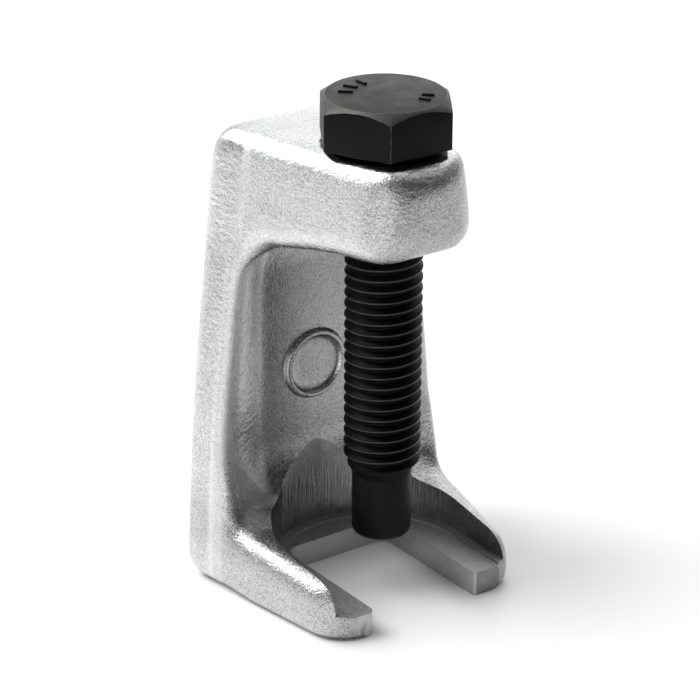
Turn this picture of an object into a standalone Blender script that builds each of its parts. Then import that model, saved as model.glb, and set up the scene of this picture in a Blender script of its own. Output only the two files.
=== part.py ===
"""Ball joint separator: a drop-forged C-frame with a forked foot, and a forcing screw through its arm.

The foot stands on z = 0, the fork opens towards -Y and the forging is symmetric about x = 0. Lengths are in
metres and places are measured from the screw's axis. An empty then sets every piece back so that the origin
lies on the ground under the middle of the whole tool.
"""
import math

import bmesh
import bpy

MM = 0.001
GAP = 0.3 * MM                    # air between neighbouring pieces

# Screw: M12 x 1.75 coarse thread, hexagon head 19 mm across flats
PITCH = 1.75 * MM
THREAD_RADIUS = 5.9 * MM          # crest radius of the rolled thread
CORE_RADIUS = 4.95 * MM           # root radius
THREAD_CLEARANCE = 0.25 * MM      # radial air in the tapped hole
THREAD_PHASE = 1.13 * MM          # height of the root line at angle 0, shared by the screw and its hole
HEAD_FLATS = 18.7 * MM            # across flats, with its rolling tolerance
HEAD_TOP = 81.2 * MM
HEAD_HEIGHT = 6.95 * MM
WASHER_FACE = 0.5 * MM            # turned bearing face under the hexagon
HEAD_CORNER_ANGLE = math.radians(27.6)
HEAD_CHAMFER = math.radians(35)
HEAD_CHAMFER_RADIUS = 8.9 * MM
CHAMFER_DROP = 3 * MM             # height of the cone that chamfers the head, more than the chamfer itself
LOW_CHAMFER = 0.95 * MM           # the smaller chamfer under the head: its height at 2 mm outside the corners
LOW_CHAMFER_INSET = 2.2 * MM      # and how far inside the corners it meets the plane 1 mm under the head
STEPS_PER_TURN = 20

# Plain dog point that bears on the ball joint's stud
TIP_RADIUS = 4.57 * MM
TIP_TOP = 20.2 * MM
TIP_BOTTOM = 9.9 * MM
TIP_CORNER = 1.3 * MM

# Frame, seen from the side: foot, column and arm
ARM_TOP = 73.4 * MM
ARM_UNDERSIDE = 58.7 * MM         # at the screw and the nose
ARCH_TOP = 56.9 * MM              # where the underside meets the arch
BACK = 22.5 * MM
BACK_CORNER = 3.4 * MM
NOSE_FRONT = -13.0 * MM
NOSE_PLAN_RADIUS = 6.6 * MM
NOSE_TOP_RADIUS = 4.4 * MM
NOSE_LOWER_RADIUS = 4.6 * MM
ARCH_RADIUS = 6.8 * MM
COLUMN_FRONT = 14.3 * MM          # front edges of the column, at the arch
COLUMN_FOOT_FRONT = 12.6 * MM     # the same edges just above the foot
COLUMN_FOOT_HEIGHT = 8.0 * MM     # over this height the edges draw back from one to the other
FOOT_FILLET = 5.0 * MM
TINE_FRONT = -11.5 * MM
TINE_PLAN_RADIUS = 4.3 * MM
TINE_TIP_HEIGHT = 5.4 * MM
TINE_ROOT_HEIGHT = 10.3 * MM
TINE_HEIGHT = 8.5 * MM            # where the tip starts to round off

# Half widths of the frame, and how they narrow
FOOT_HALF_WIDTH = 22.1 * MM
ARM_HALF_WIDTH = 15.7 * MM        # at the top of the arm's back end
SIDE_CURVE = 1.75                 # the sides close in ever faster with height
FOOT_TAPER = 0.14                 # half width lost per length towards the tines
ARM_TAPER = 0.25
TAPER_START = 20.0 * MM
TAPER_CHANGE = 20 * MM            # height where one taper starts to turn into the other, and over what rise
TAPER_RISE = 35 * MM

# The column's front is dished between two raised edges
DISH_DEPTH = 3.6 * MM
DISH_FOOT_DEPTH = 4.3 * MM        # just above the foot, behind the edges there
DISH_HALF_FLOOR = 10.3 * MM
EDGE_RADIUS = 2.6 * MM            # the forging's outer edges
ARM_EDGE_RADIUS = 2.8 * MM        # the arm's upper edges
ARM_LOWER_EDGE_RADIUS = 3.8 * MM  # its softer lower edges
ARM_EDGE_START = 35 * MM          # where the edges start to change, and over what height
ARM_EDGE_RISE = 20 * MM
COLUMN_EDGE_RADIUS = 1.6 * MM     # the tighter edges beside the dish
FOOT_EDGE_RADIUS = 1.6 * MM       # its edges on the ground

AXIS_Y = -(BACK + NOSE_FRONT) / 2   # the screw's axis, from the middle of the tool's depth

# Machined pocket and fork slot
POCKET_RADIUS = 16.1 * MM
POCKET_CENTRE_Y = 1.6 * MM
POCKET_FLOOR = 4.2 * MM
POCKET_TOP = 26.0 * MM
SLOT_HALF_WIDTH = 9.8 * MM
SLOT_BACK = 12.2 * MM
SLOT_CORNER = 2.5 * MM
SLOT_MOUTH = 0.4 * MM             # rounding of the slot's mouth at the tine tips

# Blank medallion on the inner face of the column
MEDALLION_Z = 31.6 * MM
MEDALLION_RADIUS = 5.6 * MM
MEDALLION_RIM = 1.3 * MM
MEDALLION_HEIGHT = 0.7 * MM


# ---------------------------------------------------------------- helpers
def collection(name, hidden=False):
    group = bpy.data.collections.new(name)
    bpy.context.scene.collection.children.link(group)
    group.hide_render = hidden
    return group


def material(name, colour, roughness, metallic):
    surface = bpy.data.materials.new(name)
    surface.use_nodes = True
    shader = surface.node_tree.nodes["Principled BSDF"]
    shader.inputs["Base Color"].default_value = (*colour, 1)
    shader.inputs["Roughness"].default_value = roughness
    shader.inputs["Metallic"].default_value = metallic
    return surface


def new_object(name, mesh_builder, group, surface=None):
    """An object whose mesh is what mesh_builder leaves in a fresh bmesh."""
    shape = bmesh.new()
    mesh_builder(shape)
    bmesh.ops.recalc_face_normals(shape, faces=shape.faces)
    mesh = bpy.data.meshes.new(name)
    shape.to_mesh(mesh)
    shape.free()
    made = bpy.data.objects.new(name, mesh)
    made.parent = AXIS
    group.objects.link(made)
    if surface:
        mesh.materials.append(surface)
    return made


def cutter(name, mesh_builder):
    made = new_object(name, mesh_builder, CUTTERS)
    made.hide_render = True
    made.display_type = "WIRE"
    return made


def boolean(target, tool, operation):
    step = target.modifiers.new(f"{operation.lower()} {tool.name}", "BOOLEAN")
    step.operation = operation
    step.object = tool
    return step


def turned(name, profile, segments, group, surface=None):
    """A turned solid from (radius, z) points, listed from the bottom up the outside to the top."""
    mesh = bpy.data.meshes.new(name)
    points = [(radius, 0, z) for radius, z in reversed(profile)]
    mesh.from_pydata(points, [(i, i + 1) for i in range(len(points) - 1)], [])
    made = bpy.data.objects.new(name, mesh)
    made.parent = AXIS
    group.objects.link(made)
    turn = made.modifiers.new("turn", "SCREW")
    turn.steps = turn.render_steps = segments
    turn.use_merge_vertices = True
    turn.merge_threshold = 0.00001
    turn.use_smooth_shade = True
    if surface:
        mesh.materials.append(surface)
    if group is CUTTERS:
        made.hide_render = True
        made.display_type = "WIRE"
    return made


def smooth(made, angle=35):
    made.data.shade_smooth()
    made.data.set_sharp_from_angle(angle=math.radians(angle))


def arc(centre, radius, start, end, steps):
    """Points on an arc, angles in degrees, both ends included."""
    points = []
    for i in range(steps + 1):
        angle = math.radians(start + (end - start) * i / steps)
        points.append((centre[0] + radius * math.cos(angle), centre[1] + radius * math.sin(angle)))
    return points


def mix(low, high, share):
    return low + (high - low) * share


def ease(share):
    """0 to 1 with a soft start and end."""
    share = min(max(share, 0.0), 1.0)
    return share * share * (3 - 2 * share)


# ---------------------------------------------------------------- the frame's loft
def half_width(y, z):
    """Half width of the forging at a point of its side view, before its ends round off in plan."""
    column = mix(FOOT_HALF_WIDTH, ARM_HALF_WIDTH, (max(z, 0) / ARM_TOP) ** SIDE_CURVE)
    taper = mix(FOOT_TAPER, ARM_TAPER, ease((z - TAPER_CHANGE) / TAPER_RISE))
    return column - taper * max(TAPER_START - y, 0)


def rounding(y, front, radius):
    """What a round of this radius takes off the width or the height at y, near a front end."""
    depth = radius - (y - front)
    if depth <= 0:
        return 0
    return radius - math.sqrt(max(radius * radius - depth * depth, 0))


def end_stations(front, radius, steps):
    """Places along Y from a front end to where its rounding stops, closer together near the end."""
    return [front + radius * (1 - math.cos(math.pi / 2 * i / steps)) for i in range(steps + 1)]


def stations():
    """Side-view pairs ((y, z) outer, (y, z) inner, width taken off, dish depth), from tines to nose."""
    pairs = []
    for y in end_stations(TINE_FRONT, TINE_PLAN_RADIUS, 6):
        reach = (y - TINE_FRONT) / TINE_PLAN_RADIUS
        top = mix(TINE_TIP_HEIGHT, TINE_HEIGHT, math.sqrt(max(1 - (1 - reach) ** 2, 0)))
        pairs.append(((y, 0), (y, top), rounding(y, TINE_FRONT, TINE_PLAN_RADIUS), 0))
    fillet_y = COLUMN_FOOT_FRONT - FOOT_FILLET
    for i in range(1, 4):
        y = mix(TINE_FRONT + TINE_PLAN_RADIUS, fillet_y, i / 3)
        pairs.append(((y, 0), (y, mix(TINE_HEIGHT, TINE_ROOT_HEIGHT, i / 3)), 0, 0))
    # the foot's back corner fans out from the fillet between foot and column
    fillet_centre = (fillet_y, TINE_ROOT_HEIGHT + FOOT_FILLET)
    inner = arc(fillet_centre, FOOT_FILLET, -90, 0, 8)[1:]
    corner = arc((BACK - BACK_CORNER, BACK_CORNER), BACK_CORNER, -90, 0, 4)
    outer = [(mix(fillet_y, BACK - BACK_CORNER, share), 0) for share in (0.4, 0.8)]
    outer += corner + [(BACK, fillet_centre[1])]
    for i, (out, into) in enumerate(zip(outer, inner)):
        pairs.append((out, into, 0, DISH_FOOT_DEPTH * ease((i - 2) / 5)))
    arch_z = ARCH_TOP - ARCH_RADIUS
    foot_z = fillet_centre[1]
    for share in (0.09, 0.2, 0.4, 0.6, 0.8, 1):
        z = mix(foot_z, arch_z, share)
        front = mix(COLUMN_FOOT_FRONT, COLUMN_FRONT, ease((z - foot_z) / COLUMN_FOOT_HEIGHT))
        floor = mix(COLUMN_FOOT_FRONT + DISH_FOOT_DEPTH, COLUMN_FRONT + DISH_DEPTH, ease(share / 0.1))
        pairs.append(((BACK, z), (front, z), 0, floor - front))
    # the arm's back corner fans out from the arch
    arch_centre = (COLUMN_FRONT - ARCH_RADIUS, arch_z)
    inner = arc(arch_centre, ARCH_RADIUS, 0, 90, 10)[1:]
    corner = arc((BACK - BACK_CORNER, ARM_TOP - BACK_CORNER), BACK_CORNER, 0, 90, 4)
    outer = [(BACK, mix(arch_z, ARM_TOP - BACK_CORNER, share)) for share in (0.4, 0.7, 0.9)]
    outer += corner
    outer += [(mix(BACK - BACK_CORNER, arch_centre[0], share), ARM_TOP) for share in (0.33, 0.66, 1)]
    for i, (out, into) in enumerate(zip(outer, inner)):
        pairs.append((out, into, 0, DISH_DEPTH * (1 - ease(i / 7))))
    round_start = NOSE_FRONT + NOSE_PLAN_RADIUS
    for i in range(1, 4):
        y = mix(arch_centre[0], round_start, i / 3)
        pairs.append(((y, ARM_TOP), (y, mix(ARCH_TOP, ARM_UNDERSIDE, math.sin(math.pi / 2 * i / 3))), 0, 0))
    for y in reversed(end_stations(NOSE_FRONT, NOSE_PLAN_RADIUS, 7)[:-1]):
        top = ARM_TOP - rounding(y, NOSE_FRONT, NOSE_TOP_RADIUS)
        low = ARM_UNDERSIDE + rounding(y, NOSE_FRONT, NOSE_LOWER_RADIUS)
        pairs.append(((y, top), (y, low), rounding(y, NOSE_FRONT, NOSE_PLAN_RADIUS), 0))
    return pairs


def section(outer, inner, narrowed, dish):
    """Half a cross section, from the middle of the forging's outer side to the middle of its inner side."""
    span = math.dist(outer, inner)
    on_ground = outer[1] == 0 and inner[0] == outer[0]
    risen = ease((inner[1] - ARM_EDGE_START) / ARM_EDGE_RISE)
    outer_radius = FOOT_EDGE_RADIUS if on_ground else mix(EDGE_RADIUS, ARM_EDGE_RADIUS, risen)
    inner_radius = mix(EDGE_RADIUS, ARM_LOWER_EDGE_RADIUS, risen)
    inner_radius = mix(inner_radius, COLUMN_EDGE_RADIUS, min(dish / DISH_DEPTH, 1))
    half = min(half_width(*outer), half_width(*inner)) - narrowed
    outer_radius = min(outer_radius, 0.45 * span, 0.6 * half)
    inner_radius = min(inner_radius, 0.45 * span, 0.6 * half)

    def place(inset, depth):
        """A point inset from the side face, at a depth from the outer side towards the inner one."""
        share = depth / span
        y = mix(outer[0], inner[0], share)
        z = mix(outer[1], inner[1], share)
        return (half_width(y, z) - narrowed - inset, y, z)

    def across(depth, share):
        x, y, z = place(0, depth)
        return (share * (x - EDGE_RADIUS if x > 2 * EDGE_RADIUS else x / 2), y, z)

    points = [across(0, share) for share in (0, 0.33, 0.66)]
    for inset, depth in arc((outer_radius, outer_radius), outer_radius, 270, 180, 3):
        points.append(place(inset, depth))
    for share in (0.33, 0.66):
        points.append(place(0, mix(outer_radius, span - inner_radius, share)))
    for inset, depth in arc((inner_radius, span - inner_radius), inner_radius, 180, 90, 4):
        points.append(place(inset, depth))
    reach = points[-1][0]
    floor = min(DISH_HALF_FLOOR, 0.62 * reach)
    dished = ((mix(floor, reach, 0.5), 0.5), (floor, 0.95), (0.8 * floor, 1), (0.4 * floor, 1), (0, 1))
    for x, share in dished:
        points.append((x, *place(0, span - dish * share)[1:]))
    return points


def build_loft(shape):
    """The forging's right half as a loft between its sections, open at x = 0."""
    rows = [[shape.verts.new(point) for point in section(*pair)] for pair in stations()]
    for near, far in zip(rows, rows[1:]):
        for i in range(len(near) - 1):
            shape.faces.new((near[i], near[i + 1], far[i + 1], far[i]))
    shape.faces.new(rows[0])
    shape.faces.new(rows[-1])


def extrude(shape, outline, low, high):
    """A prism over an outline of (x, y) points."""
    face = shape.faces.new([shape.verts.new((x, y, low)) for x, y in outline])
    raised = bmesh.ops.extrude_face_region(shape, geom=[face])
    verts = [item for item in raised["geom"] if isinstance(item, bmesh.types.BMVert)]
    bmesh.ops.translate(shape, verts=verts, vec=(0, 0, high - low))


def build_slot(shape):
    """The fork's slot: straight walls, round back corners and a slightly rounded mouth at the tips."""
    back = SLOT_BACK - SLOT_CORNER
    side = SLOT_HALF_WIDTH
    mouth = TINE_FRONT + SLOT_MOUTH
    outline = [(side + SLOT_MOUTH, TINE_FRONT - 3 * MM)]
    outline += arc((side + SLOT_MOUTH, mouth), SLOT_MOUTH, 270, 180, 3)
    outline += arc((side - SLOT_CORNER, back), SLOT_CORNER, 0, 90, 5)
    outline += [(-x, y) for x, y in reversed(outline)]
    extrude(shape, outline, -2 * MM, POCKET_FLOOR + 4 * MM)


def build_pocket(shape):
    """The pocket: round at the back, and straight out between the tines at the front."""
    front = TINE_FRONT - 3 * MM
    outline = [(POCKET_RADIUS, front)]
    outline += arc((0, POCKET_CENTRE_Y), POCKET_RADIUS, 0, 180, 36)
    outline += [(-POCKET_RADIUS, front)]
    extrude(shape, outline, POCKET_FLOOR, POCKET_TOP)


# ---------------------------------------------------------------- threads
def build_thread(shape, low, high, crest, root):
    """A right-hand threaded rod between two heights, with flat ends and a thread that fades in and out."""
    steps = STEPS_PER_TURN
    first = THREAD_PHASE + PITCH * math.ceil((low - THREAD_PHASE) / PITCH)
    turns = int((high - first) / PITCH) - 1
    profile = ((0, root), (0.36, crest), (0.52, crest))    # share of the pitch, radius
    total = turns * steps

    def point(radius, index, z):
        angle = 2 * math.pi * index / steps
        return shape.verts.new((radius * math.cos(angle), radius * math.sin(angle), z))

    def helix_row(index):
        fade = ease(index / steps) * ease((total - index) / steps)
        climb = first + PITCH * index / steps
        return [point(mix(root, radius, fade), index, climb + PITCH * share) for share, radius in profile]

    rows = [helix_row(i) for i in range(total + 1)]
    last_turn = [point(root, total + i, first + PITCH * (total + i) / steps) for i in range(1, steps + 1)]
    starts = [row[0] for row in rows] + last_turn          # the root line, one turn past the last row
    for i in range(total):
        here, there = rows[i], rows[i + 1]
        for j in range(len(profile) - 1):
            shape.faces.new((here[j], there[j], there[j + 1], here[j + 1]))
        shape.faces.new((here[-1], there[-1], starts[i + 1 + steps], starts[i + steps]))
    bottom = [point(root, i, low) for i in range(steps)]
    top = [point(root, total + i, high) for i in range(steps)]
    for i in range(steps - 1):
        shape.faces.new((bottom[i], bottom[i + 1], starts[i + 1], starts[i]))
        shape.faces.new((starts[total + i], starts[total + i + 1], top[i + 1], top[i]))
    shape.faces.new([bottom[-1], bottom[0], *rows[0], starts[steps], starts[steps - 1]])
    shape.faces.new([starts[-2], starts[-1], *reversed(rows[-1]), top[0], top[-1]])
    shape.faces.new(bottom)
    shape.faces.new(top)


# ---------------------------------------------------------------- the pieces
def make_frame(group):
    zinc = material("zinc plated forging", (0.62, 0.63, 0.64), 0.42, 0.9)
    frame = new_object("frame", build_loft, group, zinc)
    mirror = frame.modifiers.new("other half", "MIRROR")
    mirror.merge_threshold = 0.00001
    boolean(frame, turned("medallion", [
        (0, -3 * MM),
        (MEDALLION_RADIUS, -3 * MM),
        (MEDALLION_RADIUS - 0.3 * MM, MEDALLION_HEIGHT),
        (MEDALLION_RADIUS - MEDALLION_RIM, MEDALLION_HEIGHT),
        (MEDALLION_RADIUS - MEDALLION_RIM - 0.4 * MM, 0.15 * MM),
        (0, -0.1 * MM),
    ], 32, CUTTERS), "UNION")
    medallion = bpy.data.objects["medallion"]
    medallion.location = (0, COLUMN_FRONT + DISH_DEPTH, MEDALLION_Z)
    medallion.rotation_euler = (math.radians(90), 0, 0)
    boolean(frame, cutter("pocket", build_pocket), "DIFFERENCE")
    boolean(frame, cutter("slot", build_slot), "DIFFERENCE")

    def tapped_hole(shape):
        build_thread(
            shape, ARM_UNDERSIDE - 4 * MM, ARM_TOP + 4 * MM,
            THREAD_RADIUS + THREAD_CLEARANCE, CORE_RADIUS + THREAD_CLEARANCE)

    boolean(frame, cutter("tapped hole", tapped_hole), "DIFFERENCE")
    return frame


def make_screw(group):
    black = material("black oxide screw", (0.03, 0.03, 0.032), 0.42, 0.7)

    def rod(shape):
        build_thread(shape, TIP_TOP, HEAD_TOP - HEAD_HEIGHT / 2, THREAD_RADIUS, CORE_RADIUS)

    screw = new_object("forcing_screw", rod, group, black)

    def hexagon(shape):
        bmesh.ops.create_cone(
            shape, cap_ends=True, segments=6, radius1=HEAD_FLATS / math.sqrt(3),
            radius2=HEAD_FLATS / math.sqrt(3), depth=HEAD_HEIGHT)

    head = cutter("head", hexagon)
    head.location.z = HEAD_TOP - HEAD_HEIGHT / 2
    head.rotation_euler.z = HEAD_CORNER_ANGLE
    bearing = HEAD_TOP - HEAD_HEIGHT
    corner = HEAD_FLATS / math.sqrt(3)
    boolean(head, turned("head chamfer", [
        (0, bearing - 1 * MM),
        (corner - LOW_CHAMFER_INSET, bearing - 1 * MM),
        (corner + 2 * MM, bearing + LOW_CHAMFER),
        (HEAD_CHAMFER_RADIUS + CHAMFER_DROP / math.tan(HEAD_CHAMFER), HEAD_TOP - CHAMFER_DROP),
        (HEAD_CHAMFER_RADIUS, HEAD_TOP),
        (0, HEAD_TOP),
    ], 48, CUTTERS), "INTERSECT")
    boolean(screw, head, "UNION")
    boolean(screw, turned("washer face", [
        (0, bearing - WASHER_FACE),
        (HEAD_CHAMFER_RADIUS - 0.2 * MM, bearing - WASHER_FACE),
        (HEAD_CHAMFER_RADIUS, bearing + 1 * MM),
        (0, bearing + 1 * MM),
    ], 48, CUTTERS), "UNION")
    return screw


def make_tip(group):
    black = material("black oxide tip", (0.03, 0.03, 0.032), 0.4, 0.7)
    corner = arc((TIP_RADIUS - TIP_CORNER, TIP_BOTTOM + TIP_CORNER), TIP_CORNER, -90, 0, 4)
    return turned("pressure_tip", [
        (0, TIP_BOTTOM), *corner, (TIP_RADIUS, TIP_TOP - GAP), (0, TIP_TOP - GAP)
    ], 32, group, black)


for old in list(bpy.data.objects):
    bpy.data.objects.remove(old, do_unlink=True)
PIECES = collection("ball_joint_separator")
CUTTERS = collection("cutters", hidden=True)
AXIS = bpy.data.objects.new("screw axis", None)
AXIS.location.y = AXIS_Y
PIECES.objects.link(AXIS)
for piece in (make_frame(PIECES), make_screw(PIECES), make_tip(PIECES)):
    smooth(piece)
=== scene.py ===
"""Looks of the ball joint separator: a zinc plated forging with machined cuts, and a black forcing screw.

Lengths are in metres. The forging's shape is worked out from the screw's axis, as (y, z) places in its side
view, and every finished piece is then moved to where the frame has that axis. Side -1 is the left of the
forging, and side 1 the right.
"""
import math

import bmesh
import bpy
import numpy as np
from mathutils import Matrix, Vector, noise


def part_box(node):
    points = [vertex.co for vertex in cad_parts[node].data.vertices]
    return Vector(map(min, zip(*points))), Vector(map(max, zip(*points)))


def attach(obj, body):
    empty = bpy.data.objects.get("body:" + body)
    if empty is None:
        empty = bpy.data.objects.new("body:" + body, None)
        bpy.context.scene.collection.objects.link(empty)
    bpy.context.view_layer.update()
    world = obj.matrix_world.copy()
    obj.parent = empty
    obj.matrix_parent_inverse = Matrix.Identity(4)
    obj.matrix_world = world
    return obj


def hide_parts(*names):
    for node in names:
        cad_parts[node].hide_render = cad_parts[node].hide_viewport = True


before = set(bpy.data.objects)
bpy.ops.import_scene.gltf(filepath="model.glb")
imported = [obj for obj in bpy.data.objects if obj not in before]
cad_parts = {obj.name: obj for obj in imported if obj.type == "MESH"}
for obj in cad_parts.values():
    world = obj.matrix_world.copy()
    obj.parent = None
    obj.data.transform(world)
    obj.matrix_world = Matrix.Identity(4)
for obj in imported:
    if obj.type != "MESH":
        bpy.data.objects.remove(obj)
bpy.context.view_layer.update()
MM = 0.001

# ---------------------------------------------------------------- sizes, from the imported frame
BODY_LOW, BODY_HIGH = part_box("frame")
TIP_LOW, TIP_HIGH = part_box("pressure_tip")
SCREW_LOW, SCREW_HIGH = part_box("forcing_screw")
AXIS = Vector((0, (TIP_LOW.y + TIP_HIGH.y) / 2, 0))        # foot of the screw's axis
ARM_TOP = BODY_HIGH.z
BACK = BODY_HIGH.y - AXIS.y
NOSE_FRONT = BODY_LOW.y - AXIS.y
TIP_RADIUS = (TIP_HIGH.x - TIP_LOW.x) / 2
TIP_BOTTOM = TIP_LOW.z
SCREW_BOTTOM = SCREW_LOW.z
HEAD_TOP = SCREW_HIGH.z

# ---------------------------------------------------------------- sizes of the forging's side view
ARM_UNDERSIDE = 58.7 * MM
ARCH_TOP = 56.9 * MM
ARCH_RADIUS = 6.8 * MM
BACK_CORNER = 3.4 * MM
NOSE_PLAN_RADII = {-1: 5.4 * MM, 1: 7.8 * MM}
NOSE_TOP_RADIUS = 4.4 * MM
NOSE_LOWER_RADIUS = 4.6 * MM
COLUMN_FRONT = 14.3 * MM
COLUMN_FOOT_FRONT = 12.6 * MM
COLUMN_FOOT_HEIGHT = 8 * MM
FOOT_FILLET = 5 * MM
TINE_FRONT = -12.3 * MM            # stock that the saw cuts then trim
TINE_ROOT_HEIGHT = 10.3 * MM
TINE_ROUND_START = -6.4 * MM
TINE_FALL_POWER = 1.8

# The centres of the two inner fillets: over the foot and under the arm
FOOT_FILLET_CENTRE = (COLUMN_FOOT_FRONT - FOOT_FILLET, TINE_ROOT_HEIGHT + FOOT_FILLET)
ARCH_CENTRE = (COLUMN_FRONT - ARCH_RADIUS, ARCH_TOP - ARCH_RADIUS)

# The two tines came out of the die a little different: where the saw cut them, their plan radius, their
# height at the round and at the tip, and the radius of the inner corner at the mouth
TINES = {
    -1: {"cut": -11.9 * MM, "radius": 5.2 * MM, "height": 8.9 * MM, "tip": 6.3 * MM, "mouth": 1.1 * MM},
    1: {"cut": -11.2 * MM, "radius": 3.4 * MM, "height": 8.2 * MM, "tip": 4.9 * MM, "mouth": 0.4 * MM},
}

# ---------------------------------------------------------------- sizes of the forging's cross sections
FOOT_HALF_WIDTH = 22.1 * MM
ARM_HALF_WIDTH = 15.7 * MM
SIDE_CURVE = 1.75                  # power of the height by which the width falls
FOOT_TAPER = 0.14
ARM_TAPER = 0.25
TAPER_START = 20 * MM
TAPER_CHANGE = 20 * MM
TAPER_RISE = 35 * MM
DISH_DEPTH = 3.6 * MM
DISH_FOOT_DEPTH = 4.3 * MM
DISH_HALF_FLOOR = 10.3 * MM
DISH_FLOOR_SHARE = 0.62            # most of the inner side's half width that the dish's floor takes
EDGE_RADIUS = 2.6 * MM
ARM_EDGE_RADIUS = 2.8 * MM
ARM_LOWER_EDGE_RADIUS = 3.8 * MM
ARM_EDGE_START = 35 * MM
ARM_EDGE_RISE = 20 * MM
COLUMN_EDGE_RADIUS = 1.3 * MM
FOOT_EDGE_RADIUS = 1.6 * MM
EDGE_SHARE_OF_SPAN = 0.45
EDGE_SHARE_OF_WIDTH = 0.6

# ---------------------------------------------------------------- the forged skin
SKIN_GRID = 0.42 * MM              # spacing of its points
SKIN_WAVES = ((6.5 * MM, 0.07 * MM), (2.3 * MM, 0.03 * MM), (1.1 * MM, 0.02 * MM))     # length and height
BACK_BAND_WAVES = 0.45             # share of the waves that the smoother places keep
DISH_WAVES = 0.4
GROUND_FADE = 1.2 * MM
SEAT_RADIUS = 9.5 * MM             # flat round the screw, where the head sits
SEAT_FADE = 2.5 * MM

# ---------------------------------------------------------------- sizes of the cuts and the roundel
POCKET_RADIUS = 16.1 * MM
POCKET_CENTRE_Y = 1.6 * MM
POCKET_FLOOR = 4.2 * MM
POCKET_LEDGE = 1.4 * MM            # width of the ring that stands along the foot of the pocket's wall
POCKET_LEDGE_HEIGHT = 0.25 * MM
POCKET_TOP = 26 * MM
SLOT_HALF_WIDTH = 9.8 * MM
SLOT_BACK = 12.2 * MM
SLOT_CORNER = 2.5 * MM
CUT_FRONT = TINE_FRONT - 3 * MM    # in front of everything that the cuts take away
CUT_BOTTOM = -2 * MM
SLOT_CUT_TOP = POCKET_FLOOR + 6 * MM
SAW_CUT_TOP = 15 * MM
SAW_CUT_SIDE = 30 * MM
HOLE_CUT_SPARE = 4 * MM

ROUNDEL_Z = 31.6 * MM
ROUNDEL_RADIUS = 5.6 * MM
ROUNDEL_RIM = 0.8 * MM
ROUNDEL_HEIGHT = 0.7 * MM
ROUNDEL_ROOT = 3 * MM
ROUNDEL_OUTER_ROUND = 0.3 * MM
ROUNDEL_INNER_ROUND = 0.2 * MM

# ---------------------------------------------------------------- sizes of the screw
PITCH = 1.75 * MM
THREAD_RADIUS = 5.9 * MM
CORE_RADIUS = 4.95 * MM
THREAD_CLEARANCE = 0.25 * MM
THREAD_PHASE = 1.13 * MM
# One turn's outline, as shares of the pitch going up and of the thread's depth
THREAD_OUTLINE = (
    (0, 0.02), (0.09, 0.1), (0.32, 0.93), (0.38, 1),
    (0.5, 1), (0.56, 0.93), (0.8, 0.1), (0.88, 0.02),
)
SHANK_CHAMFER_SLOPE = 0.62
CREST_BAND = 0.01 * MM
DOG_POINT_ROUND = 1.1 * MM
DOG_POINT_INSET = 0.03 * MM        # the dog point ends just inside the shank's foot
DOG_POINT_GAP = 0.02 * MM

HEAD_FLATS = 18.7 * MM
HEAD_CORNER = HEAD_FLATS / math.sqrt(3)
HEAD_HEIGHT = 6.95 * MM
HEAD_BEARING = HEAD_TOP - HEAD_HEIGHT
HEAD_CORNER_ANGLE = math.radians(57.6)
HEAD_CHAMFER = math.radians(35)
HEAD_CHAMFER_RADIUS = 8.9 * MM
HEAD_CHAMFER_DROP = 3 * MM
HEAD_EDGE = 0.13 * MM
WASHER_FACE = 0.5 * MM

# Plain raised bars on the head: their angles in degrees, distance from the axis, length and width
MARKS = (
    ((91, 115, 139), 5.9 * MM, 2.3 * MM, 0.6 * MM),
    ((-61, -43), 6.2 * MM, 1.9 * MM, 0.5 * MM),
)
MARK_HEIGHT = 0.35 * MM
MARK_LIFT = 0.35                   # share of its height by which a bar's middle stands over the head
MARK_EDGE = 0.14 * MM

# ---------------------------------------------------------------- camera and light
CAMERA_AZIMUTH = math.radians(-36.08)
CAMERA_ELEVATION = math.radians(24.09)
CAMERA_ROLL = math.radians(0.35)
CAMERA_DISTANCE = 457.8 * MM
CAMERA_LENS = 157.4                # millimetres of lens on a 36 mm sensor
CAMERA_TARGET = AXIS + Vector((-6.16, 0, 41.87)) * MM

TENT_DIRECTION = (0.2, 0.75, 0.6)  # towards the tent's bright side
TENT_DARK_EDGE = 0.26              # cosines from that direction between which the tent goes dark
TENT_BRIGHT_EDGE = 0.66
TENT_DARK = 0.1
TENT_BRIGHT = 1.48
# Lamps: where they stand from the screw's axis at half the arm's height, their size and their power
LAMPS = {
    "key": ((-0.26, 0.24, 0.46), (0.45, 0.45), 3.3),
    "fill": ((-0.42, -0.30, 0.06), (0.16, 0.3), 0.5),
}
FLOOR_HALF_SIZE = 3.0


# ---------------------------------------------------------------- helpers
def mix(low, high, share):
    return low + (high - low) * share


def ease(share):
    """0 to 1 with a soft start and end."""
    share = min(max(share, 0.0), 1.0)
    return share * share * (3 - 2 * share)


def polar(radius, angle):
    return (radius * math.cos(angle), radius * math.sin(angle))


def arc(centre, radius, start, end, steps):
    """Points on an arc, angles in degrees, both ends included."""
    points = []
    for i in range(steps + 1):
        angle = math.radians(mix(start, end, i / steps))
        points.append((centre[0] + radius * math.cos(angle), centre[1] + radius * math.sin(angle)))
    return points


def link(name, data):
    made = bpy.data.objects.new(name, data)
    bpy.context.scene.collection.objects.link(made)
    return made


def mesh_object(name, builder):
    """An object whose mesh is what builder leaves in a fresh bmesh."""
    shape = bmesh.new()
    builder(shape)
    bmesh.ops.recalc_face_normals(shape, faces=shape.faces)
    mesh = bpy.data.meshes.new(name)
    shape.to_mesh(mesh)
    shape.free()
    return link(name, mesh)


def set_materials(made, *materials):
    made.data.materials.clear()
    for material in materials:
        made.data.materials.append(material)


def apply_modifiers(made):
    """Puts the evaluated mesh in the object, with no modifier left."""
    bpy.context.view_layer.update()
    evaluated = made.evaluated_get(bpy.context.evaluated_depsgraph_get())
    mesh = bpy.data.meshes.new_from_object(evaluated)
    made.modifiers.clear()
    made.data = mesh
    return made


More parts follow.
